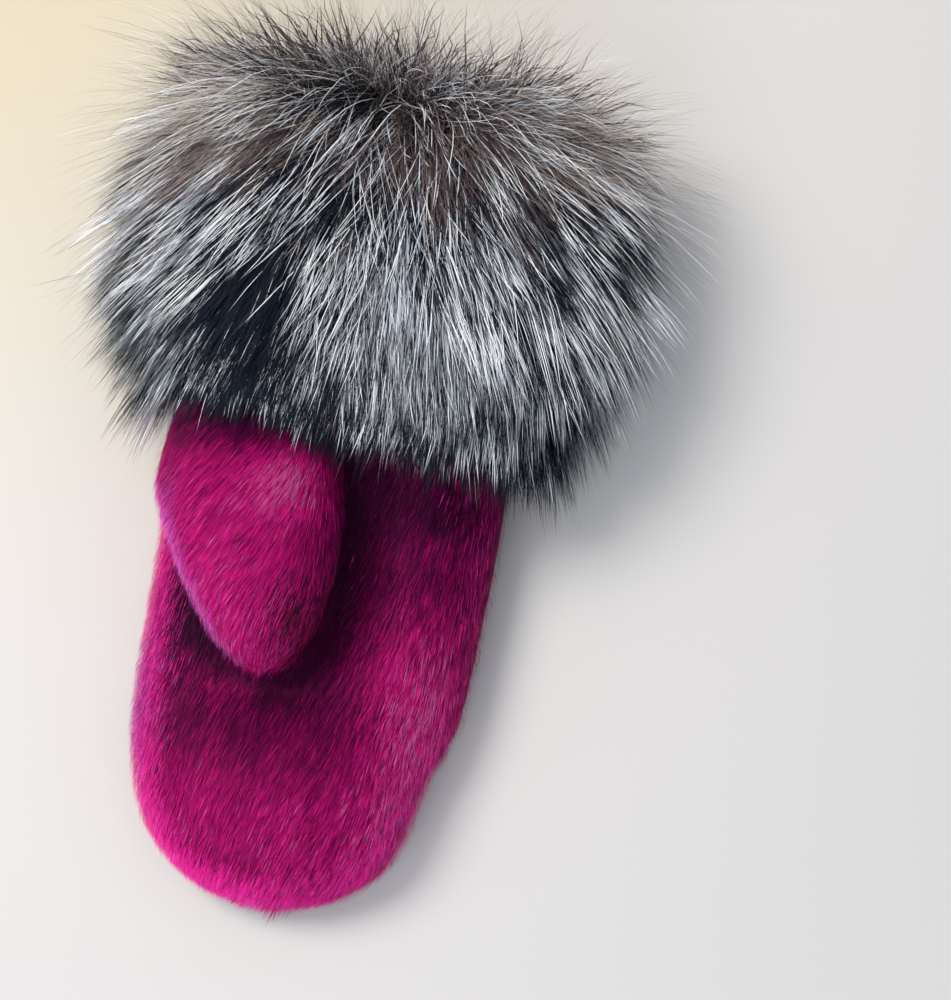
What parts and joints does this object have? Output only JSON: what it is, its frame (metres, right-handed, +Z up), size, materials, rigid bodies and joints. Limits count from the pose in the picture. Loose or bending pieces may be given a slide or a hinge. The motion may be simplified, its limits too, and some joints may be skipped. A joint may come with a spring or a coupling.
{
  "type": "fur mitten",
  "caption": "Hollow fur mitten lying palm up: a sewn hand of short dyed fur, a thumb folded over the palm, and a wrist cuff of deep long-haired fur.",
  "frame": {"origin": "on the flat resting face of the back of the hand, under the middle of the hand's length", "axes": "+Z up out of the palm, +Y from the fingertips to the cuff opening, +X across the palm away from the thumb"},
  "size_m": [0.2293, 0.3189, 0.0946],
  "materials": {
    "dyed_fur": "short glossy fur hair",
    "pelt_skin": "matt suede",
    "silver_fur": "long glossy guard hair"
  },
  "bodies": {
    "root": {"palm_panel": "dyed_fur", "back_panel": "dyed_fur", "thumb": "dyed_fur", "cuff_band": "pelt_skin", "cuff_fur": "silver_fur"}
  },
  "joints": []
}
